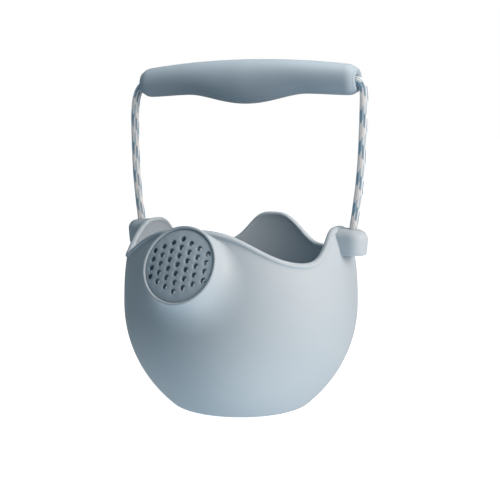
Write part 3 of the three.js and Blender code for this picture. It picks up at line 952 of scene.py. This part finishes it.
def braid_fibre():
    """Polyester yarn: white, with the tracer strands blue, and fine filaments along each."""
    material, tree, shader = new_material("rope_fibre", Roughness=0.75, Sheen__Weight=0.6)
    strand, lift = (add_node(tree, "ShaderNodeAttribute") for _ in range(2))
    strand.attribute_name, lift.attribute_name = "strand", "lift"
    # the strands' numbers picked out by colour, one way after the other
    white, blue, pale = (0.93, 0.97, 1.0, 1), (0.13, 0.31, 0.47, 1), (0.42, 0.62, 0.76, 1)
    share = add_node(tree, "ShaderNodeMath")
    share.operation = "DIVIDE"
    share.inputs[1].default_value = 2 * strands
    tree.links.new(strand.outputs["Fac"], share.inputs[0])
    tracer = add_node(tree, "ShaderNodeValToRGB", Fac=share.outputs[0])
    tracer.color_ramp.interpolation = "CONSTANT"
    stops = tracer.color_ramp.elements
    stops[0].position, stops[0].color = 0, white
    stops[1].position, stops[1].color = (first_tracer - 0.5) / (2 * strands), blue
    other_way = first_tracer + strands
    for number, colour in (
        (first_tracer + tracers, white),
        (other_way, pale),
        (other_way + tracers, white),
    ):
        stops.new((number - 0.5) / (2 * strands)).color = colour
    # painted shade: a strand's colour is darkened where it dives under its neighbours, standing in for
    # the shade between the strands
    painted_weave_shade = add_node(tree, "ShaderNodeMapRange", Value=lift.outputs["Fac"])
    for label, value in (("From Min", 0.3), ("From Max", 0.78), ("To Min", 0.25)):
        painted_weave_shade.inputs[label].default_value = value
    weave_shaded = multiplied(tree, tracer.outputs["Color"], painted_weave_shade.outputs["Result"], 1)
    fluff = noise(tree, scale=2600, detail=2)
    worn = multiplied(tree, weave_shaded, fluff.outputs["Color"], 0.18)
    tree.links.new(worn, shader.inputs["Base Color"])
    roughen(tree, shader, fluff.outputs["Fac"], strength=0.5, distance=0.08 * mm)
    return material


fibre = braid_fibre()


def path_frames(path):
    """Two directions square to the path at each point: to its side, and to the can's front."""
    along = np.gradient(path, axis=0)
    along /= np.linalg.norm(along, axis=1)[:, None]
    front = np.broadcast_to(np.array([0.0, -1.0, 0.0]), path.shape).copy()
    front -= along * (front * along).sum(axis=1)[:, None]
    front /= np.linalg.norm(front, axis=1)[:, None]
    return np.cross(along, front), front


def braided(name, path, first_run, twist):
    """A length of braid along a path; twist turns the whole braid about its own line."""
    mesh = bpy.data.meshes.new(name)
    mesh.from_pydata(path.tolist(), [(i, i + 1) for i in range(len(path) - 1)], [])
    side, front = path_frames(path)
    twisted_side = side * math.cos(twist) + front * math.sin(twist)
    twisted_front = front * math.cos(twist) - side * math.sin(twist)
    for label, kind, field, values in (
        ("side", "FLOAT_VECTOR", "vector", twisted_side),
        ("front", "FLOAT_VECTOR", "vector", twisted_front),
        ("run", "FLOAT", "value", first_run + run_along(path)),
    ):
        carrier = mesh.attributes.new(label, kind, "POINT")
        carrier.data.foreach_set(field, values.astype(np.float32).ravel())
    sizes = {
        "Strands": float(strands),
        "Lay": rope_lay,
        "Radius": braid_radius,
        "Weave": weave_lift,
        "Strand Width": strand_width / 2,
        "Strand Thickness": strand_thickness / 2,
    }
    return grown(put(name, mesh), braiding, {"Fibre": fibre, **sizes})


def tube(name, path, radius, sides=12):
    """A plain round core along a path, closed at both ends."""
    side, front = path_frames(path)
    turn = np.linspace(0, 2 * math.pi, sides, endpoint=False)
    rings = (
        path[:, None, :]
        + radius * np.cos(turn)[None, :, None] * side[:, None, :]
        + radius * np.sin(turn)[None, :, None] * front[:, None, :]
    )
    number = numbered(len(path), sides)
    faces = quads(number) + [number[0, ::-1], number[-1]]
    made = mesh_object(name, rings.reshape(-1, 3), faces)
    made.data.materials.append(fibre)
    return made


def stretch(start, end, step):
    """Evenly spaced points of the rope's path between two distances along it."""
    run = np.linspace(0, rope_length, len(rope_path))
    even = np.arange(start, end, step)
    return np.column_stack([np.interp(even, run, rope_path[:, k]) for k in range(3)])


# the strands are laid only where they show; inside the grip a plain sleeve stands for them
shown_leg, sleeve_overlap = 118 * mm, 3 * mm
strand_step, core_step = rope_lay / 46, 1.2 * mm
# how far the weave has run, and how far it is turned, where each leg of it starts
right_start, left_start, left_twist = 2 * mm, 16.1 * mm, math.radians(-72)
core_path = stretch(0, rope_length, core_step)
core_run = np.arange(len(core_path)) * core_step
sleeve_start = shown_leg - sleeve_overlap
hidden = (core_run > sleeve_start) & (core_run < rope_length - sleeve_start)
right_leg = stretch(0, shown_leg, strand_step)
left_leg = stretch(rope_length - shown_leg, rope_length, strand_step)
rope_parts = [
    braided("rope_right_leg", right_leg, right_start, 0),
    braided("rope_left_leg", left_leg, left_start, left_twist),
    tube("rope_core", core_path, core_radius),
    tube("rope_sleeve", core_path[hidden], sleeve_radius),
]


def joined_mesh(name, parts):
    """Several meshes as one piece."""
    shape = bmesh.new()
    for part in parts:
        shape.from_mesh(part.data)
    mesh = bpy.data.meshes.new(name)
    shape.to_mesh(mesh)
    shape.free()
    mesh.materials.append(parts[0].data.materials[0])
    mesh.shade_smooth()
    for part in parts:
        bpy.data.objects.remove(part)
    return put(name, mesh)


rope = joined_mesh("rope_braid", rope_parts)
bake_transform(rope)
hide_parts("rope", "rope_end_right", "rope_end_left")

# ---- grip ---------------------------------------------------------------------------------
# A soft moulded silicone sleeve that is threaded on the rope: arched on top, swollen below
# where the palm closes, with domed ends where the rope turns down.

grip_half_length, grip_offset = 80.2 * mm, 1.8 * mm
grip_end_radius, grip_end_dome, grip_crown = 9.35 * mm, 8.5 * mm, 5.45 * mm
dome_fullness, dome_power = 2.3, 0.435
grip_bulge, grip_waist, grip_half_depth = 4.85 * mm, 1.35 * mm, 12.4 * mm
bore_radius, bore_flare, bore_mouth = 3.2 * mm, 1.2 * mm, 7 * mm
last_station, grip_tip, bore_start = 77.4 * mm, 79 * mm, 76.6 * mm
grip_around, end_steps = 72, 8


def grip_section(x):
    """Top, bottom and half depth of the grip at a distance from its middle."""
    share = min(abs(x) / grip_half_length, 1)
    dome = max((abs(x) - grip_half_length + grip_end_dome) / grip_end_dome, 0)
    rounding = max(1 - min(dome, 1) ** dome_fullness, 0) ** dome_power
    swell = 1 - float(smoothstep(abs(x), 0, grip_half_length * 0.55))
    waist = math.sin(math.pi * float(smoothstep(abs(x), 0, grip_half_length)))
    half = grip_end_radius * rounding
    top = half + grip_crown * (1 - share**2)
    bottom = -half - grip_bulge * swell + grip_waist * waist * (1 - swell)
    return top, bottom, between(grip_half_depth, grip_end_radius, share) * rounding


def grip_ring(x, top, bottom, depth):
    turn = np.linspace(0, 2 * math.pi, grip_around, endpoint=False)
    middle, half = (top + bottom) / 2, (top - bottom) / 2
    return np.column_stack(
        [np.full(grip_around, x), depth * np.cos(turn), middle + half * np.sin(turn)]
    )


def trumpet(x):
    """The bore's radius, which opens out towards its mouth."""
    share = max((abs(x) - grip_half_length + bore_mouth) / bore_mouth, 0)
    return between(bore_radius, bore_radius + bore_flare, min(share, 1) ** 2)


# the outside, its rings closer together towards the ends
stations = np.linspace(-1, 1, 101)
stations = np.sign(stations) * (1 - (1 - np.abs(stations)) ** 1.6) * last_station
grip_rings = [grip_ring(x, *grip_section(x)) for x in stations]
# each end turns in over a rounded tip to the bore, which runs through to the other end
for end in (1, -1):
    outside = grip_section(last_station)
    bore = trumpet(bore_start)
    turned = []
    for share in np.linspace(0, 1, end_steps + 1)[1:]:
        out = (grip_tip - last_station) * math.sin(math.pi * share) ** 0.8
        x = between(last_station, bore_start, share) + out
        ease = float(smoothstep(share, 0, 1))
        sizes = [between(a, b, ease) for a, b in zip(outside, (bore, -bore, bore))]
        turned.append(grip_ring(end * x, *sizes))
    for x in np.linspace(bore_start, grip_half_length - bore_mouth, 6)[1:]:
        turned.append(grip_ring(end * x, trumpet(x), -trumpet(x), trumpet(x)))
    grip_rings = grip_rings + turned if end > 0 else turned[::-1] + grip_rings
grip_rings = np.array(grip_rings)
number = numbered(len(grip_rings), grip_around)
grip_faces = quads([*number, number[0]])
grip = mesh_object("grip_silicone", grip_rings.reshape(-1, 3), grip_faces)
lean = Matrix.Rotation(-handle_lean, 4, "X")
grip.data.transform(Matrix.Translation((grip_offset, 0, grip_rise)))
grip.data.transform(Matrix.Translation((0, lug_set_back, pivot_height)) @ lean)
grip_coat = silicone("grip_silicone", (0.29, 0.385, 0.46), (0.28, 0.37, 0.445), 0.56)
grip.data.materials.append(grip_coat)
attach(grip, "grip")
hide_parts("grip")

# ---- knots --------------------------------------------------------------------------------
# A stopper knot at each end of the rope, tied in the rope itself, drawn tight and pulled up
# into the pocket under its lug.

knot_size, knot_rise, knot_rope_radius = 0.92 * mm, 1.5 * mm, 1.9 * mm
for where in ("right", "left"):
    low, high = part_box(f"knot_{where}")
    turn = np.linspace(0, 2 * math.pi, 90)
    knot_path = np.column_stack(
        [
            (np.sin(turn) + 2 * np.sin(2 * turn)) * knot_size,
            (np.cos(turn) - 2 * np.cos(2 * turn)) * knot_size,
            -np.sin(3 * turn) * knot_rise,
        ]
    )
    knot_path += np.array((low + high) / 2)
    knot = tube(f"knot_{where}_braid", knot_path[:-1], knot_rope_radius, 10)
    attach(knot, "can")
    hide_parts(f"knot_{where}")

# ---- floor and light ----------------------------------------------------------------------
# A seamless white table that glows, one broad warm light low on the right, a weak one
# overhead, a cool one from below and a dim, slightly cool room all round.

table_half, table_drop = 8, 0.4 * mm
corners = [(-1, -1, 0), (1, -1, 0), (1, 1, 0), (-1, 1, 0)]
floor_mesh = bpy.data.meshes.new("floor")
floor_mesh.from_pydata([Vector(c) * table_half for c in corners], [], [(0, 1, 2, 3)])
floor = put("floor", floor_mesh)
floor.location.z = -table_drop
floor.visible_diffuse = floor.visible_glossy = floor.visible_shadow = False
light_table, _, _ = new_material(
    "light_table",
    Base__Color=(0.4, 0.4, 0.4, 1),
    Roughness=0.9,
    Specular__IOR__Level=0,
    Emission__Color=(1, 1, 1, 1),
    Emission__Strength=1.0,
)
floor_mesh.materials.append(light_table)


def soft_light(name, place, target, size, power, colour):
    lamp = bpy.data.lights.new(name, "AREA")
    lamp.shape, lamp.size, lamp.energy, lamp.color = "DISK", size, power, colour
    made = put(name, lamp)
    made.location = place
    made.rotation_euler = (Vector(target) - Vector(place)).to_track_quat("-Z", "Y").to_euler()


soft_light("key", (1.1, -0.12, 0.45), (0, 0, 0.1), 1.0, 20, (1.0, 0.83, 0.73))
soft_light("top", (0.05, -0.02, 0.46), (0, 0, 0.2), 0.3, 0.9, (1.0, 0.93, 0.88))
soft_light("under", (0.25, -0.25, -0.7), (0, 0, 0.05), 0.9, 5, (0.95, 0.98, 1.0))

world = bpy.data.worlds.new("studio")
world.use_nodes = True
tree = world.node_tree
direction = add_node(tree, "ShaderNodeTexCoord").outputs["Generated"]
height = add_node(tree, "ShaderNodeSeparateXYZ", Vector=direction).outputs["Z"]
# the white table throws more light back than the dim room above it
walls = add_node(tree, "ShaderNodeValToRGB", Fac=height)
low_stop, high_stop = walls.color_ramp.elements
low_stop.position, low_stop.color = 0.0, (0.8, 0.92, 1.0, 1)
high_stop.position, high_stop.color = 0.45, (0.3, 0.38, 0.43, 1)
room = tree.nodes["Background"]
room.inputs["Strength"].default_value = 0.34
tree.links.new(walls.outputs["Color"], room.inputs["Color"])
# behind the can the camera sees plain white
backdrop = add_node(tree, "ShaderNodeBackground", Color=(1, 1, 1, 1))
seen = add_node(tree, "ShaderNodeLightPath").outputs["Is Camera Ray"]
either = add_node(tree, "ShaderNodeMixShader", Fac=seen)
tree.links.new(room.outputs[0], either.inputs[1])
tree.links.new(backdrop.outputs[0], either.inputs[2])
tree.links.new(either.outputs[0], tree.nodes["World Output"].inputs["Surface"])
bpy.context.scene.world = world
bpy.context.scene.view_settings.view_transform = "Standard"
